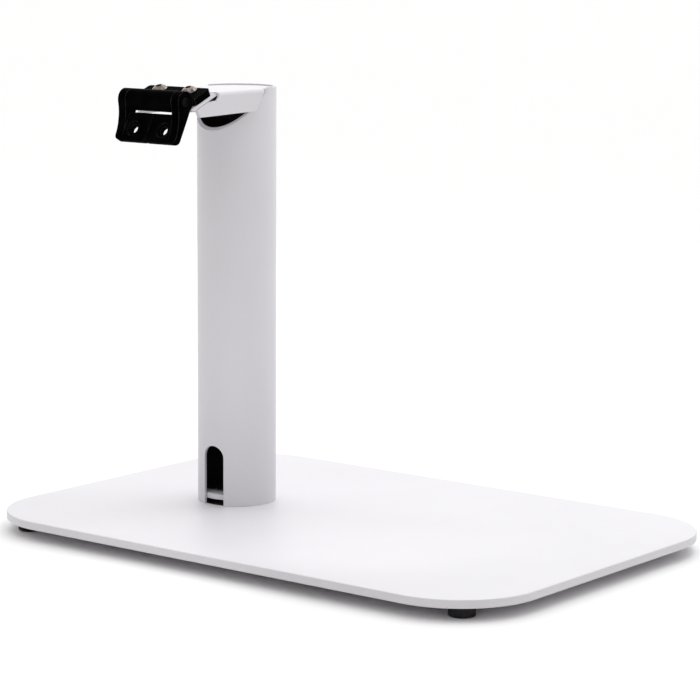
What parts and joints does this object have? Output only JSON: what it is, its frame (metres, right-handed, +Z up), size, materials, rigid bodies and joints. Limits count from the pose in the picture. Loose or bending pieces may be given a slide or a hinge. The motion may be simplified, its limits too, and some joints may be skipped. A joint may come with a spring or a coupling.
{
  "type": "customer display pole stand",
  "caption": "Counter stand for a customer display: rounded base plate on feet, tubular pole with a cable slot, folded head bracket and a tilting friction hinge.",
  "frame": {"origin": "middle of the base at the level that the feet stand on", "axes": "+X along the base's length, away from the pole; -Y the side that the display faces; +Z up"},
  "size_m": [0.47, 0.32, 0.3369],
  "materials": {
    "white_powder_coat": "fine-textured white powder coat on steel",
    "foot_rubber": "black moulded rubber, matt",
    "zinc_steel": "zinc-plated steel",
    "black_hinge": "black satin coat on die-cast metal",
    "hinge_steel": "oiled hardened steel",
    "bush_brass": "sintered bronze bush",
    "bronzed_steel": "dark plated steel screw"
  },
  "bodies": {
    "stand": {"base_plate": "white_powder_coat", "foot_front_left": "foot_rubber", "foot_front_right": "foot_rubber", "foot_rear_left": "foot_rubber", "foot_rear_right": "foot_rubber", "foot_washers": "zinc_steel", "foot_screws": "zinc_steel", "pole_tube": "white_powder_coat", "pole_mounting_disc": "white_powder_coat", "disc_weld_bead": "white_powder_coat", "pole_screws": "zinc_steel", "pole_screw_washers": "zinc_steel", "head_bracket": "white_powder_coat", "bracket_weld_beads": "white_powder_coat", "hinge_fixed_leaf": "black_hinge", "hinge_bushes": "bush_brass", "friction_clips": "hinge_steel", "hinge_screws": "bronzed_steel", "hinge_nut_washers": "zinc_steel", "hinge_nuts": "zinc_steel"},
    "display_leaf": {"hinge_moving_leaf": "black_hinge", "hinge_pin": "hinge_steel"}
  },
  "joints": [
    {"name": "display_tilt", "type": "hinge", "parent": "stand", "child": "display_leaf", "pos_m": [-0.108, -0.09139, 0.32645], "axis": [-1, 0, 0], "range_deg": [-12, 210]}
  ]
}
